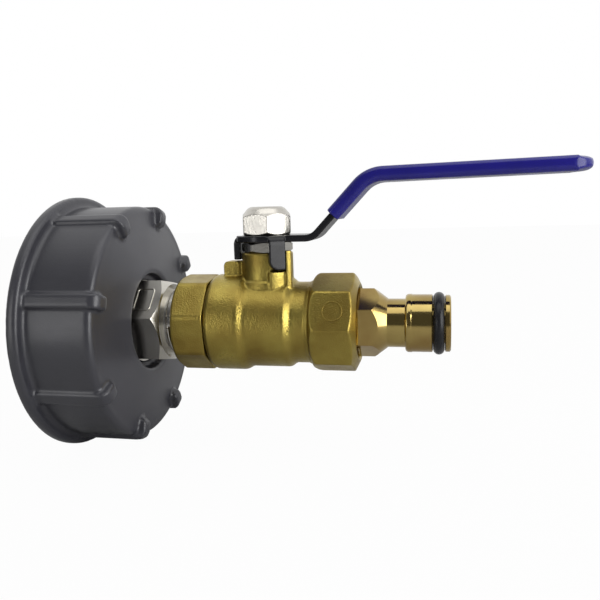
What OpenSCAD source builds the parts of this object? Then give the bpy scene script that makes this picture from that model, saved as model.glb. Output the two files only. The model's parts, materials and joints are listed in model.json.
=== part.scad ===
// Tank drain valve: a coarse-thread tank cap, a plated hex insert, a two-piece ball valve
// with a lever, and a click spigot for a hose.
// The pipe axis is X and the water runs towards +X. The stem points up, +Z.
// The origin is on the pipe axis in the open mouth of the cap, where the tank neck goes in.

/* [Tank cap] */
// Radius of the coarse thread's wall inside the cap
cap_bore_r = 50.6; // [50:0.1:51]
// Outer radius of the cap's skirt between the ribs
skirt_r = 54.6; // [54:0.1:55.5]
// Outer radius of the flange round the mouth
flange_r = 59.7; // [58:0.1:62]
// Thickness of the flange
flange_t = 5.3; // [4:0.1:7]
// Length of the cap from its mouth to the outer edge of its front face
cap_len = 35.4; // [34.5:0.1:37]
// How far the front face rises from its edge to its middle, as a shallow cone
face_rise = 2.8; // [2:0.1:3.4]
// Depth of the flat inner face, which the gasket lies on
cap_floor_x = 28; // [27:0.1:29]
// Number of grip ribs round the cap
rib_count = 8; // [6:1:10]
// Width of one rib
rib_w = 6.4; // [5:0.1:8]
// Outer radius over the ribs
rib_r = 56.5; // [56:0.1:58]
// How far the rounded nose of a rib stands out of the front face
rib_nose = 3.8; // [3:0.1:4.5]
// Turn of the first rib above the side that faces -Y
rib_turn = 18; // [0:1:44]

/* [Hex insert] */
// Width across the flats of the insert's hexagon
insert_af = 36.6; // [35:0.1:38]
// Where the hexagon's front face lies along the pipe
insert_face_x = 48.4; // [47:0.1:49]
// Radius of the round recess in the cap that clears the hexagon
recess_r = 22.6; // [22.4:0.1:24]
// Depth of that recess
recess_depth = 4.6; // [4:0.1:5]
// Radius of the water way through the insert
insert_bore_r = 11; // [9:0.1:12]

/* [Valve body] */
// Radius of the pipe threads, one at each end of the valve
pipe_thread_r = 16; // [15:0.1:16.5]
// Radius of the water way through the ball, the seats' supports and the body
port_r = 10; // [8:0.1:10]
// Where the screwed-in retainer's octagon starts
retainer_x = 54.9; // [54:0.1:55.5]
// Where the body's round cup starts
cup_x = 70.5; // [70.3:0.1:71]
// Radius of the cup round the retainer's thread
cup_r = 22.2; // [21.5:0.1:23]
// Radius of the housing round the ball
housing_r = 20.5; // [20:0.1:21]
// Radius of the groove between the housing and the outlet octagon
groove_r = 18.5; // [17.5:0.1:19]
// Width across the flats of both octagons
octagon_af = 41.8; // [40:0.1:42.5]
// Where the outlet octagon's face lies
body_end_x = 138.2; // [138:0.1:139]

/* [Ball and stem] */
// Where the stem's axis crosses the pipe
stem_x = 95.8; // [95.5:0.1:96]
// Radius of the ball
ball_r = 16; // [15.8:0.1:16]
// Radius of the stem's shaft
shaft_r = 6.2; // [5.9:0.1:6.4]
// Outer radius of the neck that holds the packing
neck_r = 11.65; // [11:0.05:12]
// Height of the neck's top above the pipe axis
neck_top = 32.5; // [32:0.1:33]

/* [Lever] */
// Height of the underside of the lever's plate
plate_z = 37.1; // [36.9:0.1:38]
// Thickness of the lever's plate
plate_t = 3; // [2.8:0.1:3.4]
// Width of the strip that the lever is bent from
strip_w = 18; // [16:0.5:20]
// Radius of the round hub
hub_r = 13.9; // [13.4:0.1:15]
// How steeply the strip climbs between its two bends
climb_angle = 46.8; // [40:0.2:50]
// Slope of the hand part
hand_angle = 0.9; // [0:0.1:2]
// Height of the middle of the hand part above its second bend
hand_z = 65.1; // [60:0.1:70]
// Where the end of the sleeve lies
lever_end_x = 234.2; // [200:0.1:240]
// Thickness of the sleeve's wall
sleeve_wall = 1.7; // [1:0.05:2]
// Width across the flats of the nut on the lever
nut_af = 21.2; // [20:0.1:22]
// Height of that nut
nut_h = 12.8; // [12:0.1:14]

/* [Stops] */
// Direction of the tab that rests on a stop, seen from above and counted from +X
tab_az = -58; // [-65:1:-55]
// Width of that tab
tab_w = 7.4; // [7:0.1:9]
// Height of its lower edge
tab_z = 24.9; // [24.5:0.1:27]
// Quarter turn from open to closed
turn_angle = 90; // [90:1:90]

/* [Spigot] */
// Outer radius of the spigot's mouth
mouth_r = 12.5; // [12:0.1:13]
// Radius of the water way through the spigot
spigot_bore_r = 7; // [6:0.1:7.2]
// Where the mouth ends
spigot_end_x = 177.6; // [176:0.1:180]
// Radius over the rubber ring
o_ring_outer_r = 13.75; // [13.5:0.05:14]
// Width across the flats of the spigot's hexagon
spigot_af = 27; // [26:0.1:28]
// Radius that the hexagon's corners are turned down to
collar_r = 15.5; // [15.2:0.1:15.8]

/* [Hidden] */

$fn = 96;
// Small overlap that lets one cut run past another
eps = 0.01;
// Running clearance between the stem and what it turns in
run = 0.05;
// Gap between the ball and its seats
seat_gap = 0.08;
// Gap round the gland nut's plain thread
thread_gap = 0.03;
// Gap between a tab and its stop
stop_gap = 0.12;

// Tank cap
skirt_corner = 2.5;
gasket_t = 3;
gasket_out_r = 50.3;
gasket_in_r = 38;
thread_len = 24.5;
relief_r = 51.4;
drum_r = 19.5;
drum_groove_r = 17.8;
drum_x = 25;
cap_hub_r = 27;
face_x = cap_len + face_rise;
recess_x = face_x - recess_depth;

// Pipe threads and sockets
socket_end_x = 71;
outlet_socket_x = 121;
insert_end_x = 69.5;
spigot_thread_x = 123;

// Ball housing
seat_back = 13.2;
seat_front = 7;
seat_r = 15.6;
seat_bore_r = port_r + 0.2;
seal_x = 71;
seal_w = 2;
seal_in_r = 17.6;
retainer_thread_r = 19;
retainer_thread_end = 83.6;
cavity_x = 84;
cavity_r = 17.2;
retainer_end_x = 70.2;

// Stem, washers and packing, from the bottom to the top
tang_z = 12;
tang_t = 5;
tang_w = 12;
slot_floor_z = 11.8;
collar_z = 17;
stem_collar_r = 8.6;
stem_collar_t = 2.2;
washer_z = collar_z + stem_collar_t + run;
washer_t = 1.15;
web_z = washer_z + washer_t;
packing_z = 22.6;
packing_t = 2.4;
packing_r = 9;
gland_z = packing_z + 2 * packing_t;
gland_top = plate_z - 0.2;
gland_af = 20.8;
gland_clear_r = gland_af / 2 / cos(30) + 0.3;
stud_r = 5.9;
stem_flats = 9;
nut_z = plate_z + plate_t;
stem_top = nut_z + nut_h - 1;
lock_ring_r = 8;
lock_ring_z = nut_z + 8.4;
lock_ring_t = 2.6;

// Lever
tab_in_r = 11.95;
tab_out_r = tab_in_r + plate_t;
tab_bend = 0.8;
rear_tab_w = 7;
rear_tab_z = 29.1;
mid_z = plate_z + plate_t / 2;
low_bend_r = 7.6;
high_bend_r = 14.2;
climb_x = 118.3;
sleeve_start = 13.4;
sleeve_w = strip_w + 2 * sleeve_wall;
sleeve_t = plate_t + 2 * sleeve_wall;
sleeve_edge_r = 2.4;

// Spigot
cone_x = 144.3;
neck_x = 150.5;
spigot_neck_r = 10.8;
bead_x = 158;
bead_r = 12.95;
ring_r = 12.75;
o_ring_x = 172.5;
o_ring_d = 4.9;
gland_w = 5.2;

// Points on a circular arc round [a, b], from angle a0 to angle a1
function arc(a, b, r, a0, a1, n = 6) =
    [for (i = [0:n]) let (t = a0 + (a1 - a0) * i / n) [a + r * cos(t), b + r * sin(t)]];

// Points of a smooth step from [r0, x0] to [r1, x1]
function step(r0, x0, r1, x1, n = 8) =
    [for (i = [0:n]) [r0 + (r1 - r0) * (1 - cos(180 * i / n)) / 2, x0 + (x1 - x0) * i / n]];

// A turned solid on the pipe axis, from points of [radius, station]
module turned(profile) rotate([0, 90, 0]) rotate_extrude() polygon(profile);

// A round bar or bore on the pipe axis
module bar(r, x0, x1) translate([x0, 0, 0]) rotate([0, 90, 0]) cylinder(r = r, h = x1 - x0);

// A prism on the pipe axis, with a corner turned this far above -Y
module prism(sides, af, x0, x1, corner = 0)
    rotate([-corner, 0, 0])
        translate([x0, 0, 0])
            rotate([0, 90, 0])
                rotate(90)
                    cylinder(r = af / 2 / cos(180 / sides), h = x1 - x0, $fn = sides);

// A round bar or bore on the stem's axis
module post(r, z0, z1) translate([stem_x, 0, z0]) cylinder(r = r, h = z1 - z0);

// A ring on the stem's axis
module washer(r_out, r_in, z0, t) difference() {
    post(r_out, z0, z0 + t);
    post(r_in, z0 - 1, z0 + t + 1);
}

// A hexagonal bar on the stem's axis, its ends turned to a profile of [radius, height]
module turned_hex(af, z0, profile, turn) translate([stem_x, 0, z0]) intersection() {
    rotate(turn) translate([0, 0, -1]) cylinder(r = af / 2 / cos(30), h = 40, $fn = 6);
    rotate_extrude() polygon(profile);
}

// Tank cap: skirt, flange and front wall in one moulding, with grip ribs

module rib() {
    nose_x = cap_len + rib_nose;
    corner_r = 4.6;
    toe_r = rib_nose;
    toe_at = rib_r - corner_r - 2.4;
    edge = 1.1;
    half = rib_w / 2;
    side = concat(
        [[skirt_r - 1.5, flange_t - 1], [rib_r, flange_t - 1]],
        arc(rib_r - corner_r, nose_x - corner_r, corner_r, 0, 90, 8),
        arc(toe_at, cap_len, toe_r, 90, 180, 8),
        [[toe_at - toe_r, cap_len - 1], [skirt_r - 1.5, cap_len - 1]]);
    across = concat(
        arc(0, toe_at - toe_r + half, half, 180, 360, 10),
        arc(half - edge, rib_r - edge, edge, 0, 90, 4),
        arc(edge - half, rib_r - edge, edge, 90, 180, 4));
    along = concat(
        [[-half, 0], [half, 0]],
        arc(half - edge, nose_x - edge, edge, 0, 90, 4),
        arc(edge - half, nose_x - edge, edge, 90, 180, 4));
    intersection() {
        rotate([0, 90, 0]) rotate([90, 0, 0]) linear_extrude(rib_w, center = true) polygon(side);
        rotate([-90, 0, 0]) rotate([0, 90, 0]) linear_extrude(50) polygon(across);
        translate([0, 0, -60]) linear_extrude(30) rotate(-90) polygon(along);
    }
}

module cap_moulding() {
    inner = 4;
    turned(concat(
        [[cap_bore_r, 0], [flange_r - 1, 0], [flange_r, 1], [flange_r, flange_t - 1],
         [flange_r - 1, flange_t]],
        arc(skirt_r + 1.4, flange_t + 1.4, 1.4, 270, 180, 4),
        arc(skirt_r - skirt_corner, cap_len - skirt_corner, skirt_corner, 0, 90, 6),
        [[skirt_r - 4, cap_len], [recess_r + 1.2, face_x], [recess_r + 0.3, face_x - 0.3],
         [recess_r, face_x - 1.2], [recess_r, recess_x],
         [drum_r, recess_x], [drum_r, drum_x + 5], [drum_groove_r, drum_x + 5],
         [drum_groove_r, drum_x + 3], [drum_r, drum_x + 3], [drum_r, drum_x],
         [cap_hub_r - inner, drum_x], [cap_hub_r, cap_floor_x], [relief_r, cap_floor_x],
         [relief_r, thread_len], [cap_bore_r, thread_len]]));
}

module tank_cap() color("#2c2c31") union() {
    cap_moulding();
    for (i = [0:rib_count - 1])
        rotate([-90 - rib_turn - i * 360 / rib_count, 0, 0]) rib();
}

module cap_gasket() color("#1c1c1e")
    turned([[gasket_in_r, cap_floor_x - gasket_t], [gasket_out_r, cap_floor_x - gasket_t],
            [gasket_out_r, cap_floor_x], [gasket_in_r, cap_floor_x]]);

// Hex insert: moulded into the cap by its grooved drum, with a pipe thread in front

module hex_insert() color("#c9c9c4") {
    chamfer_r = insert_af / 2 - 0.7;
    thread_x = insert_face_x + 2.1;
    difference() {
        union() {
            turned([[0, drum_x], [drum_r, drum_x], [drum_r, drum_x + 3],
                    [drum_groove_r, drum_x + 3], [drum_groove_r, drum_x + 5],
                    [drum_r, drum_x + 5], [drum_r, recess_x], [0, recess_x]]);
            intersection() {
                prism(6, insert_af, recess_x - eps, insert_face_x, 12);
                turned([[0, recess_x - 1], [chamfer_r + 4.8, recess_x - 1],
                        [chamfer_r + 4.8, insert_face_x - 3.6], [chamfer_r, insert_face_x],
                        [0, insert_face_x]]);
            }
            turned([[0, recess_x], [pipe_thread_r - 0.9, recess_x],
                    [pipe_thread_r - 0.9, thread_x], [pipe_thread_r, thread_x + 0.9],
                    [pipe_thread_r, insert_end_x - 1], [pipe_thread_r - 1, insert_end_x],
                    [0, insert_end_x]]);
        }
        bar(insert_bore_r, drum_x - 1, insert_end_x + 1);
    }
}

// Retainer: octagon with a pipe thread inside, screwed into the cup to hold the inlet seat

module retainer() color("#a3823f") difference() {
    union() {
        intersection() {
            prism(8, octagon_af, retainer_x, retainer_end_x, 13.5);
            turned([[0, retainer_x], [octagon_af / 2 - 0.2, retainer_x],
                    [octagon_af / 2 + 1.4, retainer_x + 1.1],
                    [octagon_af / 2 + 1.4, retainer_end_x - 0.4],
                    [octagon_af / 2 + 1, retainer_end_x], [0, retainer_end_x]]);
        }
        bar(retainer_thread_r, retainer_x + 5, retainer_thread_end);
        bar(cavity_r - 0.2, retainer_x + 5, stem_x - seat_front - 0.2);
    }
    difference() {
        bar(retainer_thread_r + 1, seal_x, seal_x + seal_w);
        bar(seal_in_r, seal_x - 1, seal_x + seal_w + 1);
    }
    bar(pipe_thread_r, retainer_x - 1, socket_end_x);
    turned([[0, retainer_x - eps], [pipe_thread_r + 1, retainer_x - eps],
            [pipe_thread_r, retainer_x + 1], [0, retainer_x + 1]]);
    bar(port_r, retainer_x, stem_x);
    bar(seat_r, stem_x - seat_back, stem_x);
}

module retainer_seal() color("#e8e6dd") difference() {
    bar(retainer_thread_r, seal_x, seal_x + seal_w);
    bar(seal_in_r, seal_x - 1, seal_x + seal_w + 1);
}

// One seat ring, with a hollow that fits the ball; side is -1 for the inlet, 1 for the outlet

module seat(side) difference() {
    translate([stem_x, 0, 0]) rotate([0, 90 * side, 0]) translate([0, 0, seat_front])
        cylinder(r = seat_r, h = seat_back - seat_front);
    bar(seat_bore_r, stem_x - 20, stem_x + 20);
    translate([stem_x, 0, 0]) sphere(r = ball_r + seat_gap);
}

module inlet_seat() color("#f0eee6") seat(-1);

module outlet_seat() color("#f0eee6") seat(1);

module ball() color("#d8d8da") difference() {
    translate([stem_x, 0, 0]) sphere(r = ball_r);
    bar(port_r, stem_x - 20, stem_x + 20);
    translate([stem_x - tang_t / 2 - 0.1, -20, slot_floor_z]) cube([tang_t + 0.2, 40, 10]);
}

// Valve body: cup, ball housing, groove and outlet octagon forged in one with the neck,
// and two stops for the lever

module body_barrel() {
    lip = 1;
    turned(concat(
        [[0, cup_x], [cup_r - lip, cup_x], [cup_r, cup_x + 2 * lip]],
        step(cup_r, 85, housing_r, 89.4),
        step(housing_r, 106, groove_r, 109.8),
        [[groove_r, 115.6], [groove_r + 0.6, 116.2], [groove_r + 0.6, 119], [0, 119]]));
}

module outlet_octagon() {
    shoulder = 3.9;
    tip_r = octagon_af / 2 / cos(22.5) + 0.1;
    intersection() {
        prism(8, octagon_af, 116, body_end_x);
        turned(concat(
            [[0, 121.3 - shoulder]],
            arc(tip_r - shoulder, 121.3, shoulder, -90, 0, 8),
            [[tip_r, body_end_x - 2.8], [pipe_thread_r + 3.2, body_end_x], [0, body_end_x]]));
    }
}

module body_neck() {
    foot_r = 12.9;
    foot_z = 18.4;
    bend = foot_r - neck_r;
    translate([stem_x, 0, 0]) rotate_extrude() polygon(concat(
        [[0, 0], [foot_r, 0], [foot_r, foot_z]],
        arc(foot_r, foot_z + bend + 1, bend, 270, 180, 6),
        [[neck_r, neck_top - 0.6], [neck_r - 0.6, neck_top], [0, neck_top]]));
}

// The open stop: a low pad under the tab and a wall that the tab's end rests on

module open_stop() translate([stem_x, 0, 0]) rotate(tab_az) {
    wall_t = 3.1;
    wall_top = 33.4;
    pad_r = 13.6;
    foot = 8;
    from = tab_w / 2 + stop_gap;
    difference() {
        translate([foot, from, foot]) cube([tab_out_r - foot, wall_t, wall_top - foot]);
        translate([tab_out_r, from + wall_t, foot - 1]) rotate(45)
            translate([-0.7, -5, 0]) cube([5, 10, 40]);
    }
    intersection() {
        cylinder(r = pad_r, h = tab_z - 0.6);
        translate([0, 0.2 - tab_w / 2, 6]) cube([20, tab_w + wall_t, 30]);
    }
}

// The closed stop: a lug over the cup, its near side cut to meet the tab's other end

module closed_stop() translate([stem_x, 0, 0]) {
    lug_top = 28.5;
    lug_half = 4.2;
    lug_x = -19.9;
    difference() {
        translate([0, lug_half, 0]) rotate([90, 0, 0]) linear_extrude(2 * lug_half) polygon(concat(
            [[-6, 14], [-6, lug_top]],
            arc(lug_x + 1.8, lug_top - 1.8, 1.8, 90, 180, 4),
            [[lug_x, 14]]));
        rotate(tab_az - turn_angle) translate([0, -tab_w / 2 - stop_gap, 0]) cube([40, 40, 60]);
    }
}

module valve_body() color("#a3823f") difference() {
    union() {
        body_barrel();
        outlet_octagon();
        body_neck();
        open_stop();
        closed_stop();
    }
    bar(retainer_thread_r, cup_x - 1, cavity_x);
    bar(cavity_r, cup_x, stem_x + seat_front);
    bar(seat_r, stem_x, stem_x + seat_back);
    bar(port_r, stem_x, body_end_x);
    bar(pipe_thread_r, outlet_socket_x, body_end_x + 1);
    turned([[0, body_end_x - 1.1], [pipe_thread_r, body_end_x - 1.1],
            [pipe_thread_r + 1.1, body_end_x + eps], [0, body_end_x + eps]]);
    post(stem_collar_r + 0.3, 0, web_z);
    post(shaft_r + run, 0, neck_top + 1);
    post(packing_r, packing_z, neck_top + 1);
    post(gland_clear_r, neck_top, neck_top + 5);
}

// Stem, its washer and packing, and the gland nut that presses the packing down

module stem() color("#b8954c") {
    intersection() {
        translate([stem_x - tang_t / 2, -tang_w / 2, tang_z])
            cube([tang_t, tang_w, collar_z - tang_z + eps]);
        post(stem_collar_r, 0, 40);
    }
    translate([stem_x, 0, 0]) rotate_extrude() polygon([
        [0, collar_z], [stem_collar_r, collar_z], [stem_collar_r, collar_z + stem_collar_t],
        [shaft_r, collar_z + stem_collar_t], [shaft_r, plate_z], [0, plate_z]]);
    intersection() {
        post(shaft_r - 0.2, plate_z - eps, nut_z);
        translate([stem_x - stem_flats / 2, -20, 0]) cube([stem_flats, 40, 80]);
    }
    intersection() {
        post(stud_r, nut_z - eps, stem_top);
        translate([stem_x, 0, nut_z - 1]) cylinder(r1 = stem_top - nut_z + 6, r2 = stud_r - 1,
                                                   h = stem_top - nut_z + 1);
    }
}

module thrust_washer() color("#f0eee6") washer(stem_collar_r + 0.2, shaft_r + run, washer_z, washer_t);

module lower_packing() color("#f0eee6") washer(packing_r, shaft_r + run, packing_z, packing_t);

module upper_packing() color("#f0eee6")
    washer(packing_r, shaft_r + run, packing_z + packing_t, packing_t);

module gland_nut() color("#bdbdb6") difference() {
    head_h = gland_top - neck_top;
    union() {
        post(packing_r - thread_gap, gland_z, neck_top + eps);
        turned_hex(gland_af, neck_top, [
            [0, 0], [gland_af / 2 - 0.2, 0], [gland_af / 2 + 1.2, 0.8],
            [gland_af / 2 + 1.2, head_h - 0.8], [gland_af / 2 - 0.2, head_h], [0, head_h]], 8);
    }
    post(shaft_r + run, gland_z - 1, gland_top + 1);
}

// Lever: one bent strip with a round hub, two tabs bent down and a hole with two flats

// Middle line of the strip, as points of [x, z] with the two bends as arcs
function strip_line(x_end) =
    let (a = climb_angle, h = hand_angle,
         t1 = low_bend_r * tan(a / 2),
         rise_x = (hand_z - mid_z) / tan(a),
         t2 = high_bend_r * tan((a - h) / 2),
         kx = climb_x + rise_x)
    concat(
        [[stem_x - 20, mid_z]],
        arc(climb_x - t1, mid_z + low_bend_r, low_bend_r, 270, 270 + a, 8),
        arc(kx + t2 * cos(h) + high_bend_r * sin(h), hand_z + t2 * sin(h) - high_bend_r * cos(h),
            high_bend_r, 90 + a, 90 + h, 8),
        [[x_end, hand_z + (x_end - kx) * tan(h)]]);

// Direction of the line at a point, from its neighbours
function heading(line, i) =
    let (p = line[max(i - 1, 0)], q = line[min(i + 1, len(line) - 1)])
    atan2(q[1] - p[1], q[0] - p[0]);

// The line moved sideways by a distance
function beside(line, d) =
    [for (i = [0:len(line) - 1]) let (a = heading(line, i))
        [line[i][0] - d * sin(a), line[i][1] + d * cos(a)]];

function reversed(v) = [for (i = [len(v) - 1:-1:0]) v[i]];

module strip() {
    end_r = strip_w / 2;
    end_x = lever_end_x - sleeve_wall;
    line = strip_line(lever_end_x + 5);
    side = concat(beside(line, -plate_t / 2), reversed(beside(line, plate_t / 2)));
    intersection() {
        rotate([90, 0, 0]) linear_extrude(60, center = true) polygon(side);
        union() {
            translate([stem_x, -strip_w / 2, 0]) cube([end_x - end_r - stem_x, strip_w, 100]);
            translate([end_x - end_r, 0, 0]) cylinder(r = end_r, h = 100);
            translate([stem_x, 0, 0]) cylinder(r = hub_r, h = 100);
        }
    }
}

// One tab, bent down from the hub: a bent section cut to a front outline

module tab(w, low_z, corner) {
    bend_in = tab_bend;
    bend_out = tab_bend + plate_t;
    bend_r = tab_in_r - bend_in;
    bend_z = plate_z - bend_in;
    intersection() {
        rotate([90, 0, 0]) linear_extrude(w, center = true) polygon(concat(
            [[bend_r - 4, plate_z], [bend_r - 4, nut_z]],
            arc(bend_r, bend_z, bend_out, 90, 0, 6),
            [[tab_out_r, low_z], [tab_in_r, low_z]],
            arc(bend_r, bend_z, bend_in, 0, 90, 4)));
        rotate([90, 0, 90]) linear_extrude(30) polygon(concat(
            [[w / 2, 60], [-w / 2, 60]],
            arc(corner - w / 2, low_z + corner, corner, 180, 270, 6),
            arc(w / 2 - 0.8, low_z + 0.8, 0.8, 270, 360, 3)));
    }
}

module tab_notch(w) translate([tab_in_r - tab_bend, -w / 2 - 0.6, plate_z - 1])
    cube([10, w + 1.2, plate_t + 2]);

module lever() color("#1a1a1c") difference() {
    union() {
        difference() {
            strip();
            translate([stem_x, 0, 0]) rotate(tab_az) tab_notch(tab_w);
            translate([stem_x, 0, 0]) rotate(180) tab_notch(rear_tab_w);
        }
        translate([stem_x, 0, 0]) rotate(tab_az) tab(tab_w, tab_z, 4.2);
        translate([stem_x, 0, 0]) rotate(180) tab(rear_tab_w, rear_tab_z, 1.5);
    }
    intersection() {
        post(shaft_r - 0.2, plate_z - 1, nut_z + 1);
        translate([stem_x - stem_flats / 2, -20, 0]) cube([stem_flats, 40, 80]);
    }
}

// Sleeve: a dipped cover with round edges, which follows the strip through its second bend

module sleeve_section() {
    r = sleeve_edge_r;
    w = sleeve_w / 2 - r;
    t = sleeve_t / 2 - r;
    polygon(concat(arc(w, t, r, 0, 90), arc(-w, t, r, 90, 180),
                   arc(-w, -t, r, 180, 270), arc(w, -t, r, 270, 360)));
}

module sleeve_run(x, z, angle, length) translate([x, 0, z]) rotate([0, -angle, 0])
    rotate([90, 0, 90]) linear_extrude(length) sleeve_section();

module sleeve_outside() {
    a = climb_angle;
    h = hand_angle;
    rise = (hand_z - mid_z) / sin(a);
    kx = climb_x + rise * cos(a);
    setback = high_bend_r * tan((a - h) / 2);
    sleeve_run(climb_x + sleeve_start * cos(a), mid_z + sleeve_start * sin(a), a,
               rise - setback - sleeve_start + eps);
    translate([kx + setback * cos(h) + high_bend_r * sin(h), 0,
               hand_z + setback * sin(h) - high_bend_r * cos(h)])
        rotate([90, 0, 0]) rotate(90 + h) rotate_extrude(angle = a - h)
            translate([high_bend_r, 0]) rotate(90) sleeve_section();
    sleeve_run(kx + (setback - eps) * cos(h), hand_z + (setback - eps) * sin(h), h,
               lever_end_x + 5 - kx);
}

module lever_sleeve() color("#1d2178") difference() {
    end_r = sleeve_w / 2;
    intersection() {
        sleeve_outside();
        union() {
            translate([stem_x, -end_r, 0]) cube([lever_end_x - end_r - stem_x, 2 * end_r, 100]);
            translate([lever_end_x - end_r, 0, 0]) cylinder(r = end_r, h = 100);
        }
    }
    strip();
}

// Nut on the lever: tall hexagon with a domed top, which holds a locking ring

module lever_nut() color("#cfcfd2") difference() {
    rim = nut_af / 2;
    turned_hex(nut_af, nut_z, concat(
        [[0, 0], [rim - 0.3, 0], [rim + 1.7, 1.3], [rim + 1.7, nut_h - 4.6], [rim - 0.1, nut_h - 3.2]],
        arc(rim - 4.6, nut_h - 3.9, 3.9, 30, 90, 5),
        [[0, nut_h]]), -14);
    post(stud_r, nut_z - 1, lock_ring_z);
    post(lock_ring_r, lock_ring_z, lock_ring_z + lock_ring_t);
    post(stud_r + 0.5, lock_ring_z, nut_z + nut_h + 1);
}

module nut_locking_ring() color("#3b6fb0") washer(lock_ring_r, stud_r, lock_ring_z, lock_ring_t);

// Spigot: pipe thread, hexagon with turned corners, neck, ring and mouth in one turning

module spigot() color("#b9975a") difference() {
    ring_end = o_ring_x - gland_w / 2;
    tip_x = o_ring_x + gland_w / 2;
    groove = o_ring_outer_r - o_ring_d;
    union() {
        turned([[0, spigot_thread_x], [pipe_thread_r - 1, spigot_thread_x],
                [pipe_thread_r, spigot_thread_x + 1], [pipe_thread_r, 135.6],
                [14.2, 136.4], [14.2, 138], [0, 138]]);
        intersection() {
            prism(6, spigot_af, 137, neck_x, 30);
            turned([[0, 137], [collar_r, 137], [collar_r, cone_x], [spigot_neck_r, neck_x],
                    [0, neck_x]]);
        }
        turned(concat(
            [[0, 140], [spigot_neck_r, 140], [spigot_neck_r, bead_x]],
            arc(bead_r - 1.6, bead_x + 1.6, 1.6, -60, 0, 4),
            [[bead_r, bead_x + 2.6], [ring_r, bead_x + 3.2], [ring_r, ring_end - 0.4],
             [ring_r - 0.4, ring_end], [groove, ring_end], [groove, tip_x], [mouth_r - 0.4, tip_x],
             [mouth_r, tip_x + 0.4], [mouth_r, spigot_end_x - 0.6],
             [mouth_r - 0.6, spigot_end_x], [0, spigot_end_x]]));
    }
    bar(spigot_bore_r, spigot_thread_x - 1, spigot_end_x + 1);
}

module spigot_o_ring() color("#141416") translate([o_ring_x, 0, 0]) rotate([0, 90, 0])
    rotate_extrude() translate([o_ring_outer_r - o_ring_d / 2, 0]) circle(d = o_ring_d, $fn = 32);

tank_cap();
cap_gasket();
hex_insert();
retainer();
retainer_seal();
inlet_seat();
ball();
outlet_seat();
valve_body();
stem();
thrust_washer();
lower_packing();
upper_packing();
gland_nut();
lever();
lever_sleeve();
lever_nut();
nut_locking_ring();
spigot();
spigot_o_ring();
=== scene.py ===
# %% [markdown]
# # A tank drain valve, dressed for its portrait
# The valve is a black screw cap for a tank, a plated hexagon, a brass ball valve with a lever
# and a hose spigot. Its solids come from the CAD model with their sizes and places. This
# lesson gives them the finishes and the fine detail that the CAD leaves out. Everything is
# in metres, with the pipe along X and the lever's stem along Z.

# %% Load the frame
import json
import math

import bmesh
import bpy
from mathutils import Matrix, Vector

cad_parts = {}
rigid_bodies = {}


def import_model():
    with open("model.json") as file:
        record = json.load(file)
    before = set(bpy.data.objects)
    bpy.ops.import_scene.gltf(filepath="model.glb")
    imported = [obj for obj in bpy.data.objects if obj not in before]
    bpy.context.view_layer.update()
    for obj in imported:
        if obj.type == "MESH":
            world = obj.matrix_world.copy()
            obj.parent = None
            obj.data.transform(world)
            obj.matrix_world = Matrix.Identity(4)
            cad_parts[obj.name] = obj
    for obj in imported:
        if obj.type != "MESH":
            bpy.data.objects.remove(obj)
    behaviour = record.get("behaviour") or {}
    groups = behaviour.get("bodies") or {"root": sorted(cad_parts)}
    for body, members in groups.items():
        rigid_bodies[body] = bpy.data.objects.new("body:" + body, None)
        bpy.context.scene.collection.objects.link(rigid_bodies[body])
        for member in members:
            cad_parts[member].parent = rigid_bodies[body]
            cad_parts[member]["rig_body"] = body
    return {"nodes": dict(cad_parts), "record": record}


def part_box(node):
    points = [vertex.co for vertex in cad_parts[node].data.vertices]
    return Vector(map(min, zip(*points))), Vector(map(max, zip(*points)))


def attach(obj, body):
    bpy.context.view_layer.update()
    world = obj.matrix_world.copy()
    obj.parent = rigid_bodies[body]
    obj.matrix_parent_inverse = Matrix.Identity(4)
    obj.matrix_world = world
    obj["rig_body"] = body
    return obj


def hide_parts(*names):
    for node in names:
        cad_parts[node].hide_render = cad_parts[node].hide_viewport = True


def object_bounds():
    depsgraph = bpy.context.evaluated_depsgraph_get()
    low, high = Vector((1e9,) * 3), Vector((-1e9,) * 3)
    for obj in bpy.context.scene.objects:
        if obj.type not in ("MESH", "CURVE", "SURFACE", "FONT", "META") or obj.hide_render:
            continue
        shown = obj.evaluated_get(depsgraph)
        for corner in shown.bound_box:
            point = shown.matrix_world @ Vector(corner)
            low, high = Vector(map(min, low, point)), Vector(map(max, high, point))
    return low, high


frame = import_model()
cad_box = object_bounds()
nodes = frame["nodes"]
scene = bpy.context.scene
MM = 0.001
slot_of = {part["node"]: part["material_slot"] for part in frame["record"]["subparts"]}
body_of = {name: nodes[name]["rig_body"] for name in nodes}
print("nodes:", len(nodes), "box in mm:", [[round(c / MM, 1) for c in corner] for corner in cad_box])

# %% [markdown]
# ## Camera
# The picture was taken from close by, a little above the pipe and turned towards the cap,
# so the near things swell and the lines run together. A lens of 39 mm about 30 cm from the
# ball gives the same perspective. The camera's axes are written as the columns of its matrix,
# which is surer than a chain of turns.

# %% Camera
CAMERA_AT = Vector((172.89, -287.59, 51.45)) * MM
CAMERA_RIGHT = Vector((0.97760, 0.20864, -0.02755))
CAMERA_UP = Vector((-0.00235, 0.14174, 0.98990))
LENS_MM = 39.0

camera_data = bpy.data.cameras.new("portrait_camera")
camera_data.lens = LENS_MM
camera_data.sensor_width = 36.0
camera_data.clip_start = 0.01
camera = bpy.data.objects.new("portrait_camera", camera_data)
scene.collection.objects.link(camera)
turn = Matrix((CAMERA_RIGHT, CAMERA_UP, CAMERA_RIGHT.cross(CAMERA_UP))).transposed()
camera.matrix_world = Matrix.Translation(CAMERA_AT) @ turn.to_4x4()
scene.camera = camera
scene.view_settings.view_transform = "Standard"
ball_centre = Vector((0.0958, 0.0, 0.0))
print("camera distance from the ball, mm:", round((CAMERA_AT - ball_centre).length / MM))

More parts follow.
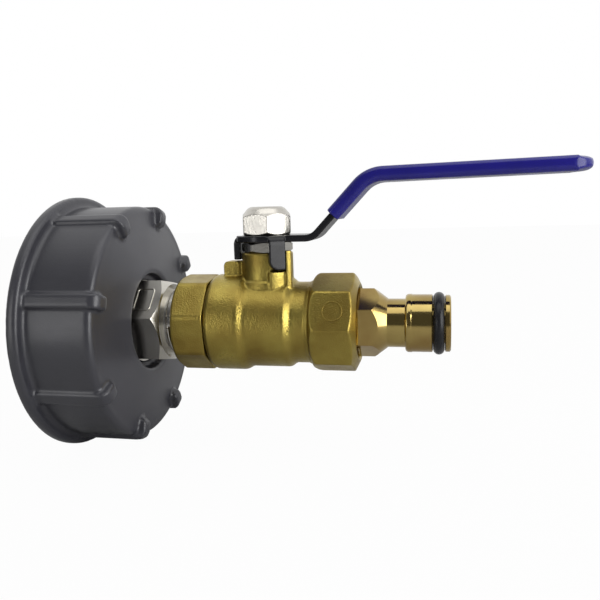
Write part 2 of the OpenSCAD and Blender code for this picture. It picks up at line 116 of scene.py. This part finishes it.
# %% [markdown]
# ## Studio
# Bare metal shows the room more than itself. Brass looks like brass only where bright boxes
# stand against something darker, so the room is white behind the valve and grey on the
# camera's side. The grey half could be cards on stands. It is written in the world's
# colour here, because a sky that turns from white to grey needs no objects. What the camera
# sees directly is always white, as in a catalogue.

# %% World
ROOM_BACK = 1.0
ROOM_FRONT = 0.12

world = bpy.data.worlds.new("studio")
scene.world = world
world.use_nodes = True
wt = world.node_tree
wt.nodes.clear()
direction = wt.nodes.new("ShaderNodeTexCoord")
split = wt.nodes.new("ShaderNodeSeparateXYZ")
blend_range = wt.nodes.new("ShaderNodeMapRange")
blend_range.interpolation_type = "SMOOTHSTEP"
blend_range.inputs["From Min"].default_value = -0.75
blend_range.inputs["From Max"].default_value = 0.25
blend_range.inputs["To Min"].default_value = ROOM_FRONT
blend_range.inputs["To Max"].default_value = ROOM_BACK
light_path = wt.nodes.new("ShaderNodeLightPath")
see_white = wt.nodes.new("ShaderNodeMix")
see_white.data_type = "FLOAT"
see_white.inputs["B"].default_value = 1.0
background = wt.nodes.new("ShaderNodeBackground")
background.inputs["Color"].default_value = (1.0, 1.0, 1.0, 1.0)
world_out = wt.nodes.new("ShaderNodeOutputWorld")
wt.links.new(direction.outputs["Generated"], split.inputs[0])
wt.links.new(split.outputs["Y"], blend_range.inputs["Value"])
wt.links.new(light_path.outputs["Is Camera Ray"], see_white.inputs["Factor"])
wt.links.new(blend_range.outputs["Result"], see_white.inputs["A"])
wt.links.new(see_white.outputs["Result"], background.inputs["Strength"])
wt.links.new(background.outputs[0], world_out.inputs[0])
print("room: back", ROOM_BACK, "front", ROOM_FRONT)

# %% [markdown]
# ## Floor and soft boxes
# The cap stands on a plain white floor. Three soft boxes light it: a wide one on the right,
# which draws the yellow bands on every step that faces the hose, a small one at the front
# left for the nut's flats and the cap's rim, and a broad weak one overhead. Area lamps are
# used, because their shape shows in the metal.

# %% Floor
FLOOR_GLOW = 0.97

cad_low, cad_high = cad_box
bm = bmesh.new()
bmesh.ops.create_grid(bm, x_segments=1, y_segments=1, size=3.0)
bmesh.ops.translate(bm, verts=bm.verts, vec=(0.1, 0.0, cad_low.z - 0.0002))
floor_mesh = bpy.data.meshes.new("floor")
bm.to_mesh(floor_mesh)
bm.free()
floor = bpy.data.objects.new("floor", floor_mesh)
scene.collection.objects.link(floor)

floor_material = bpy.data.materials.new("white_floor")
floor_material.use_nodes = True
ft = floor_material.node_tree
paper = ft.nodes["Principled BSDF"]
paper.inputs["Base Color"].default_value = (0.45, 0.45, 0.45, 1.0)
paper.inputs["Roughness"].default_value = 0.9
glow = ft.nodes.new("ShaderNodeEmission")
glow.inputs["Color"].default_value = (1.0, 1.0, 1.0, 1.0)
seen = ft.nodes.new("ShaderNodeLightPath")
share = ft.nodes.new("ShaderNodeMath")
share.operation = "MULTIPLY"
share.inputs[1].default_value = FLOOR_GLOW
paper_and_glow = ft.nodes.new("ShaderNodeMixShader")
ft.links.new(seen.outputs["Is Camera Ray"], share.inputs[0])
ft.links.new(share.outputs[0], paper_and_glow.inputs[0])
ft.links.new(paper.outputs[0], paper_and_glow.inputs[1])
ft.links.new(glow.outputs[0], paper_and_glow.inputs[2])
ft.links.new(paper_and_glow.outputs[0], ft.nodes["Material Output"].inputs["Surface"])
floor.data.materials.append(floor_material)
print("floor at mm:", round((cad_low.z - 0.0002) / MM, 1))

# %% Soft boxes
AIM = Vector((0.11, 0.0, 0.01))


def soft_box(name, towards, distance, width, height, watts):
    lamp = bpy.data.lights.new(name, "AREA")
    lamp.shape = "RECTANGLE"
    lamp.size = width
    lamp.size_y = height
    lamp.energy = watts
    box = bpy.data.objects.new(name, lamp)
    place = AIM + Vector(towards).normalized() * distance
    box.location = place
    box.rotation_euler = (AIM - place).to_track_quat("-Z", "Y").to_euler()
    scene.collection.objects.link(box)
    print(name, "at mm", [round(c / MM) for c in place], watts, "W")


soft_box("right_box", (0.88, -0.48, 0.0), 0.62, 0.46, 0.90, 7.0)
soft_box("left_box", (-0.60, -0.80, 0.10), 0.62, 0.16, 0.34, 0.6)
soft_box("top_box", (0.10, -0.25, 1.0), 0.75, 0.9, 0.5, 2.0)

# %% [markdown]
# ## Shared surface effects
# Every finish here has some of the same things: a fine grain, slow patches of colour, marks
# of the lathe, and light scratches. Each is a node group that is built once. A group puts
# out only heights and masks, and each material decides what they change. All patterns
# read the object's own coordinates, which are metres from the origin, so a scale of 1000
# makes specks of about a millimetre.

# %% Node helpers


def new_group(name, inputs, outputs):
    tree = bpy.data.node_groups.new(name, "ShaderNodeTree")
    for label, value in inputs.items():
        socket = tree.interface.new_socket(name=label, in_out="INPUT", socket_type="NodeSocketFloat")
        socket.default_value = value
    for label in outputs:
        tree.interface.new_socket(name=label, in_out="OUTPUT", socket_type="NodeSocketFloat")
    return tree, tree.nodes.new("NodeGroupInput"), tree.nodes.new("NodeGroupOutput")


def add(tree, kind, **values):
    node = tree.nodes.new(kind)
    for label, value in values.items():
        setattr(node, label, value)
    return node


def noise(tree, vector, scale, detail=2.0):
    node = add(tree, "ShaderNodeTexNoise")
    node.inputs["Detail"].default_value = detail
    tree.links.new(vector, node.inputs["Vector"])
    if isinstance(scale, (int, float)):
        node.inputs["Scale"].default_value = scale
    else:
        tree.links.new(scale, node.inputs["Scale"])
    return node.outputs["Fac"]


def remap(tree, value, low, high, to_low=0.0, to_high=1.0):
    node = add(tree, "ShaderNodeMapRange", clamp=True)
    node.inputs["From Min"].default_value = low
    node.inputs["From Max"].default_value = high
    node.inputs["To Min"].default_value = to_low
    node.inputs["To Max"].default_value = to_high
    tree.links.new(value, node.inputs["Value"])
    return node.outputs["Result"]


# %% Grain and patches
grain_group, grain_in, grain_out = new_group("grain", {"Grain Scale": 2500.0, "Patch Scale": 60.0},
                                             ["Height", "Patch"])
coords = add(grain_group, "ShaderNodeTexCoord").outputs["Object"]
fine = noise(grain_group, coords, grain_in.outputs["Grain Scale"], 3.0)
grain_group.links.new(fine, grain_out.inputs["Height"])
slow = noise(grain_group, coords, grain_in.outputs["Patch Scale"], 4.0)
grain_group.links.new(remap(grain_group, slow, 0.3, 0.7), grain_out.inputs["Patch"])
print("group:", grain_group.name)

# %% Lathe marks
lathe_group, lathe_in, lathe_out = new_group("lathe_marks", {"Mark Scale": 1800.0}, ["Height", "Band"])
coords = add(lathe_group, "ShaderNodeTexCoord").outputs["Object"]
along = add(lathe_group, "ShaderNodeSeparateXYZ")
lathe_group.links.new(coords, along.inputs[0])
only_x = add(lathe_group, "ShaderNodeCombineXYZ")
lathe_group.links.new(along.outputs["X"], only_x.inputs["X"])
marks = noise(lathe_group, only_x.outputs[0], lathe_in.outputs["Mark Scale"], 2.0)
lathe_group.links.new(marks, lathe_out.inputs["Height"])
bands = noise(lathe_group, only_x.outputs[0], 260.0, 1.0)
lathe_group.links.new(remap(lathe_group, bands, 0.35, 0.65), lathe_out.inputs["Band"])
print("group:", lathe_group.name)

# %% Fine scratches
scratch_group, scratch_in, scratch_out = new_group("scratches", {"Scratch Scale": 90.0}, ["Scratch"])
coords = add(scratch_group, "ShaderNodeTexCoord").outputs["Object"]
stretch = add(scratch_group, "ShaderNodeMapping")
stretch.inputs["Rotation"].default_value = (0.4, 0.7, 0.2)
stretch.inputs["Scale"].default_value = (1.0, 14.0, 5.0)
scratch_group.links.new(coords, stretch.inputs["Vector"])
lines = noise(scratch_group, stretch.outputs[0], scratch_in.outputs["Scratch Scale"], 3.0)
scratch_group.links.new(remap(scratch_group, lines, 0.62, 0.72), scratch_out.inputs["Scratch"])
print("group:", scratch_group.name)

# %% [markdown]
# ## Finishes
# One function makes a finish: two colours that mix in patches, a roughness that varies by
# the same patches and by scratches, and a bump from the grain or the lathe marks. The metals
# have Metallic at 1, so their base colour is the colour of what they mirror.

# %% Finish helper


def finish(slot, light, dark, metallic, roughness, bump_mm, *, grain_scale=2500.0, patch_scale=60.0,
           lathe=False, rough_range=0.08, scratch=0.05, coat=0.0, shine=0.5, bump_strength=1.0):
    material = bpy.data.materials.new(slot)
    material.use_nodes = True
    tree = material.node_tree
    shader = tree.nodes["Principled BSDF"]
    shader.inputs["Metallic"].default_value = metallic
    shader.inputs["Coat Weight"].default_value = coat
    shader.inputs["Specular IOR Level"].default_value = shine
    shader.inputs["Coat Roughness"].default_value = 0.08
    grain = add(tree, "ShaderNodeGroup", node_tree=grain_group)
    grain.inputs["Grain Scale"].default_value = grain_scale
    grain.inputs["Patch Scale"].default_value = patch_scale
    wear = add(tree, "ShaderNodeGroup", node_tree=scratch_group)
    colour = add(tree, "ShaderNodeMix", data_type="RGBA")
    colour.inputs["A"].default_value = (*light, 1.0)
    colour.inputs["B"].default_value = (*dark, 1.0)
    tree.links.new(grain.outputs["Patch"], colour.inputs["Factor"])
    tree.links.new(colour.outputs["Result"], shader.inputs["Base Color"])
    patchy = remap(tree, grain.outputs["Patch"], 0.0, 1.0, roughness - rough_range / 2,
                   roughness + rough_range / 2)
    worn = add(tree, "ShaderNodeMath", operation="MULTIPLY_ADD")
    worn.inputs[1].default_value = scratch
    tree.links.new(wear.outputs["Scratch"], worn.inputs[0])
    tree.links.new(patchy, worn.inputs[2])
    tree.links.new(worn.outputs[0], shader.inputs["Roughness"])
    height = grain.outputs["Height"]
    if lathe:
        turned = add(tree, "ShaderNodeGroup", node_tree=lathe_group)
        height = turned.outputs["Height"]
    bump = add(tree, "ShaderNodeBump")
    bump.inputs["Strength"].default_value = bump_strength
    bump.inputs["Distance"].default_value = bump_mm * MM
    tree.links.new(height, bump.inputs["Height"])
    tree.links.new(bump.outputs["Normal"], shader.inputs["Normal"])
    return material


# %% Metals
finishes = {
    "forged_brass": finish("forged_brass", (0.40, 0.315, 0.075), (0.25, 0.175, 0.04), 1.0, 0.33, 0.20,
                           grain_scale=1500.0, patch_scale=70.0, rough_range=0.12, scratch=0.0),
    "turned_brass": finish("turned_brass", (0.44, 0.34, 0.12), (0.30, 0.20, 0.07), 1.0, 0.13, 0.012,
                           lathe=True, rough_range=0.05),
    "nickel_plate": finish("nickel_plate", (0.62, 0.60, 0.55), (0.50, 0.48, 0.43), 1.0, 0.20, 0.02,
                           grain_scale=900.0),
    "zinc_plate": finish("zinc_plate", (0.60, 0.58, 0.53), (0.47, 0.45, 0.41), 1.0, 0.26, 0.06,
                         grain_scale=1100.0, rough_range=0.10, scratch=0.12),
    "chrome_plate": finish("chrome_plate", (0.78, 0.78, 0.80), (0.72, 0.72, 0.74), 1.0, 0.06, 0.003),
}
print("metals:", len(finishes))

# %% Plastics, rubber and paint
finishes["black_plastic"] = finish("black_plastic", (0.035, 0.035, 0.042), (0.027, 0.027, 0.033), 0.0,
                                   0.33, 0.04, grain_scale=1800.0, patch_scale=35.0)
finishes["black_rubber"] = finish("black_rubber", (0.012, 0.012, 0.014), (0.008, 0.008, 0.009), 0.0,
                                  0.30, 0.01, grain_scale=1500.0, shine=0.25)
finishes["white_plastic"] = finish("white_plastic", (0.84, 0.83, 0.79), (0.78, 0.77, 0.72), 0.0, 0.35,
                                   0.01)
finishes["black_paint"] = finish("black_paint", (0.008, 0.008, 0.010), (0.006, 0.006, 0.007), 0.0, 0.24,
                                 0.02, grain_scale=350.0, shine=0.28)
finishes["blue_vinyl"] = finish("blue_vinyl", (0.012, 0.010, 0.170), (0.009, 0.008, 0.130), 0.0, 0.22,
                                0.02, grain_scale=260.0, shine=0.35)
finishes["blue_nylon"] = finish("blue_nylon", (0.030, 0.120, 0.480), (0.025, 0.100, 0.420), 0.0, 0.35,
                                0.01)
for name, node in nodes.items():
    node.data.materials.clear()
    node.data.materials.append(finishes[slot_of[name]])
print("finishes:", sorted(finishes))

# %% [markdown]
# ## Softened skins
# Forged brass, moulded plastic and dipped paint have no knife edges, and the CAD has nothing
# else. A bevel on a mesh with bores and blends goes wrong easily, so a copy is filled with
# small cubes, skinned again and smoothed a few times. That rounds each edge, and each inner
# corner too, by about the size of a cube. The new skin stands in for the CAD node.

# %% Skin helpers


def link(name, bm):
    mesh = bpy.data.meshes.new(name)
    bm.to_mesh(mesh)
    bm.free()
    piece = bpy.data.objects.new(name, mesh)
    scene.collection.objects.link(piece)
    return piece


def baked(piece):
    depsgraph = bpy.context.evaluated_depsgraph_get()
    mesh = bpy.data.meshes.new_from_object(piece.evaluated_get(depsgraph))
    piece.modifiers.clear()
    piece.data = mesh
    return piece


def belongs(piece, body, slot):
    piece.data.materials.clear()
    piece.data.materials.append(finishes[slot])
    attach(piece, body)
    return piece


def soft_skin(node, cube_mm, rounds, cutter=None):
    bm = bmesh.new()
    bm.from_mesh(nodes[node].data)
    bmesh.ops.remove_doubles(bm, verts=bm.verts, dist=1e-6)
    piece = link(node + "_skin", bm)
    if cutter:
        cut = piece.modifiers.new("cut", "BOOLEAN")
        cut.operation = "DIFFERENCE"
        cut.solver = "EXACT"
        cut.object = cutter
    cubes = piece.modifiers.new("cubes", "REMESH")
    cubes.mode = "VOXEL"
    cubes.voxel_size = cube_mm * MM
    cubes.use_smooth_shade = True
    smooth = piece.modifiers.new("smooth", "SMOOTH")
    smooth.factor = 0.5
    smooth.iterations = rounds
    baked(piece)
    belongs(piece, body_of[node], slot_of[node])
    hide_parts(node)
    print(node, "skin has", len(piece.data.polygons), "faces")
    return piece


# %% [markdown]
# ## Facing cut
# The outlet octagon is faced on a lathe, which leaves a shallow cone from its corners down to
# the thread. That cone is the bright wavy band beside the spigot. A ring with this slope on
# its inner side is spun up once, cuts the copy before it is skinned, and is thrown away.

# %% Facing cut
CONE_OUTER = (135.4, 22.7)
CONE_INNER = (138.3, 16.9)
RING_R = 30.0
RING_END = 140.0

slope = (CONE_OUTER[0] - CONE_INNER[0]) / (CONE_OUTER[1] - CONE_INNER[1])
outline = [CONE_INNER, (CONE_INNER[0] + slope * (RING_R - CONE_INNER[1]), RING_R), (RING_END, RING_R),
           (RING_END, CONE_INNER[1])]
bm = bmesh.new()
corners = [bm.verts.new((x * MM, r * MM, 0.0)) for x, r in outline]
sides = [bm.edges.new((corners[i], corners[(i + 1) % 4])) for i in range(4)]
bmesh.ops.spin(bm, geom=[*sides, *corners], cent=(0, 0, 0), axis=(1, 0, 0), angle=2 * math.pi,
               steps=128, use_merge=True)
bmesh.ops.remove_doubles(bm, verts=bm.verts, dist=1e-7)
bmesh.ops.recalc_face_normals(bm, faces=bm.faces)
facing_ring = link("facing_ring", bm)
print("facing ring faces:", len(facing_ring.data.polygons))

# %% Skins
cap_skin = soft_skin("tank_cap", 0.75, 5)
body_skin = soft_skin("valve_body", 0.52, 3, facing_ring)
bpy.data.objects.remove(facing_ring)
retainer_skin = soft_skin("retainer", 0.42, 3)
lever_skin = soft_skin("lever", 0.34, 3)
nut_skin = soft_skin("lever_nut", 0.22, 6)

# %% [markdown]
# ## Sleeve
# The sleeve is plastic that the handle was dipped in while it was hot. It has no seam, and
# its end is drawn round like a drop. The skin is made like the others, and then only the
# points near the end are smoothed on and on, which pulls the flat end into a dome.

# %% Sleeve
DROP_MM = 8.0
DROP_ROUNDS = 220

sleeve_skin = soft_skin("lever_sleeve", 0.42, 4)
sleeve_low, sleeve_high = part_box("lever_sleeve")
bm = bmesh.new()
bm.from_mesh(sleeve_skin.data)
bm.verts.ensure_lookup_table()
drop = [v for v in bm.verts if v.co.x > sleeve_high.x - DROP_MM * MM]
for _ in range(DROP_ROUNDS):
    bmesh.ops.smooth_vert(bm, verts=drop, factor=0.5, use_axis_x=True, use_axis_y=False, use_axis_z=True)
bm.to_mesh(sleeve_skin.data)
bm.free()
print("points in the drop:", len(drop))

# %% [markdown]
# ## Threads
# A thread is one tooth carried along a helix. The tooth is drawn as a small face and spun
# with a push along the axis in every step, which is what a lathe does. The coarse thread
# inside the cap grips the tank's neck. A short stretch of pipe thread shows between
# the hexagon and the retainer.

# %% Thread helper


def thread(name, root_r, crest_r, foot, tip, pitch, start, turns, steps_per_turn, body, slot):
    bm = bmesh.new()
    tooth = [(start - foot / 2, root_r), (start - tip / 2, crest_r), (start + tip / 2, crest_r),
             (start + foot / 2, root_r)]
    corners = [bm.verts.new((x * MM, -r * MM, 0.0)) for x, r in tooth]
    face = bm.faces.new(corners)
    steps = round(turns * steps_per_turn)
    made = bmesh.ops.spin(bm, geom=[face, *face.edges, *corners], cent=(0, 0, 0), axis=(1, 0, 0),
                          dvec=(pitch * MM / steps_per_turn, 0, 0), angle=turns * 2 * math.pi,
                          steps=steps, use_merge=False)
    bmesh.ops.remove_doubles(bm, verts=bm.verts, dist=1e-7)
    bmesh.ops.recalc_face_normals(bm, faces=bm.faces)
    for f in bm.faces:
        f.smooth = len(f.verts) == 4
    piece = link(name, bm)
    belongs(piece, body, slot)
    print(name, "ends at mm", round((start + turns * pitch), 1), "faces", len(piece.data.polygons),
          "last", len(made["geom_last"]))
    return piece


# %% Threads
CAP_BORE_R = 50.6
PIPE_R = 16.0

thread("cap_thread", CAP_BORE_R + 0.25, CAP_BORE_R - 2.2, 4.4, 2.2, 8.0, 4.6, 2.1, 96,
       "valve", "black_plastic")
thread("insert_thread", PIPE_R - 0.2, PIPE_R + 0.75, 2.0, 0.6, 2.31, 52.0, 0.75, 96,
       "valve", "nickel_plate")

# %% [markdown]
# ## Raised marks
# Forged and moulded flats often carry a raised outline. Here they are a plain rounded frame
# on one flat of the hexagon, and a plain ring on one flat of the outlet octagon. Each is drawn flat, given a height, and then turned onto its face.

# %% Raised outline helper


def on_flat(piece_bm, x, apothem, above):
    tilt = math.radians(above)
    outward = Vector((0.0, -math.cos(tilt), math.sin(tilt)))
    across = Vector((0.0, math.sin(tilt), math.cos(tilt)))
    turn_to = Matrix((Vector((1.0, 0.0, 0.0)), across, outward)).transposed().to_4x4()
    place = Matrix.Translation(Vector((x * MM, 0.0, 0.0)) + outward * apothem * MM)
    bmesh.ops.transform(piece_bm, matrix=place @ turn_to, verts=piece_bm.verts)


def raised_outline(name, bm, wall, proud, x, apothem, above, slot):
    sink = 0.1
    bmesh.ops.inset_region(bm, faces=bm.faces[:], thickness=wall * MM, use_boundary=True,
                             use_even_offset=True)
    bm.faces.ensure_lookup_table()
    inner = max(bm.faces, key=lambda f: len(f.verts))
    bmesh.ops.delete(bm, geom=[inner], context="FACES")
    bmesh.ops.translate(bm, verts=bm.verts, vec=(0, 0, -sink * MM))
    made = bmesh.ops.extrude_face_region(bm, geom=bm.faces[:])
    top = [g for g in made["geom"] if isinstance(g, bmesh.types.BMVert)]
    bmesh.ops.translate(bm, verts=top, vec=(0, 0, (proud + sink) * MM))
    bmesh.ops.recalc_face_normals(bm, faces=bm.faces)
    rims = [e for e in bm.edges if e.is_manifold and e.calc_face_angle(0) > 1.0
            and all(v.co.z > 0 for v in e.verts)]
    bmesh.ops.bevel(bm, geom=rims, offset=0.4 * proud * MM, offset_type="OFFSET", affect="EDGES",
                    segments=2, profile=0.5, material=-1)
    on_flat(bm, x, apothem, above)
    for f in bm.faces:
        f.smooth = True
    piece = link(name, bm)
    belongs(piece, "valve", slot)
    print(name, "faces", len(piece.data.polygons))
    return piece


# %% Frame on the hexagon
HEX_FLAT = 18.3
HEX_FLAT_ABOVE = 42.0

bm = bmesh.new()
bmesh.ops.create_grid(bm, x_segments=1, y_segments=1, size=1.0)
bmesh.ops.scale(bm, vec=(4.3 * MM, 6.2 * MM, 1.0), verts=bm.verts)
bmesh.ops.bevel(bm, geom=bm.verts[:], offset=1.8 * MM, offset_type="OFFSET", affect="VERTICES",
                segments=5, profile=0.5, material=-1)
raised_outline("hexagon_frame", bm, 0.7, 0.35, 40.0, HEX_FLAT, HEX_FLAT_ABOVE, "nickel_plate")

# %% Ring on the octagon
OCT_FLAT = 20.9
OCT_FLAT_ABOVE = 22.5

bm = bmesh.new()
bmesh.ops.create_circle(bm, cap_ends=True, radius=4.6 * MM, segments=48)
raised_outline("octagon_ring", bm, 0.7, 0.3, 128.0, OCT_FLAT, OCT_FLAT_ABOVE, "forged_brass")
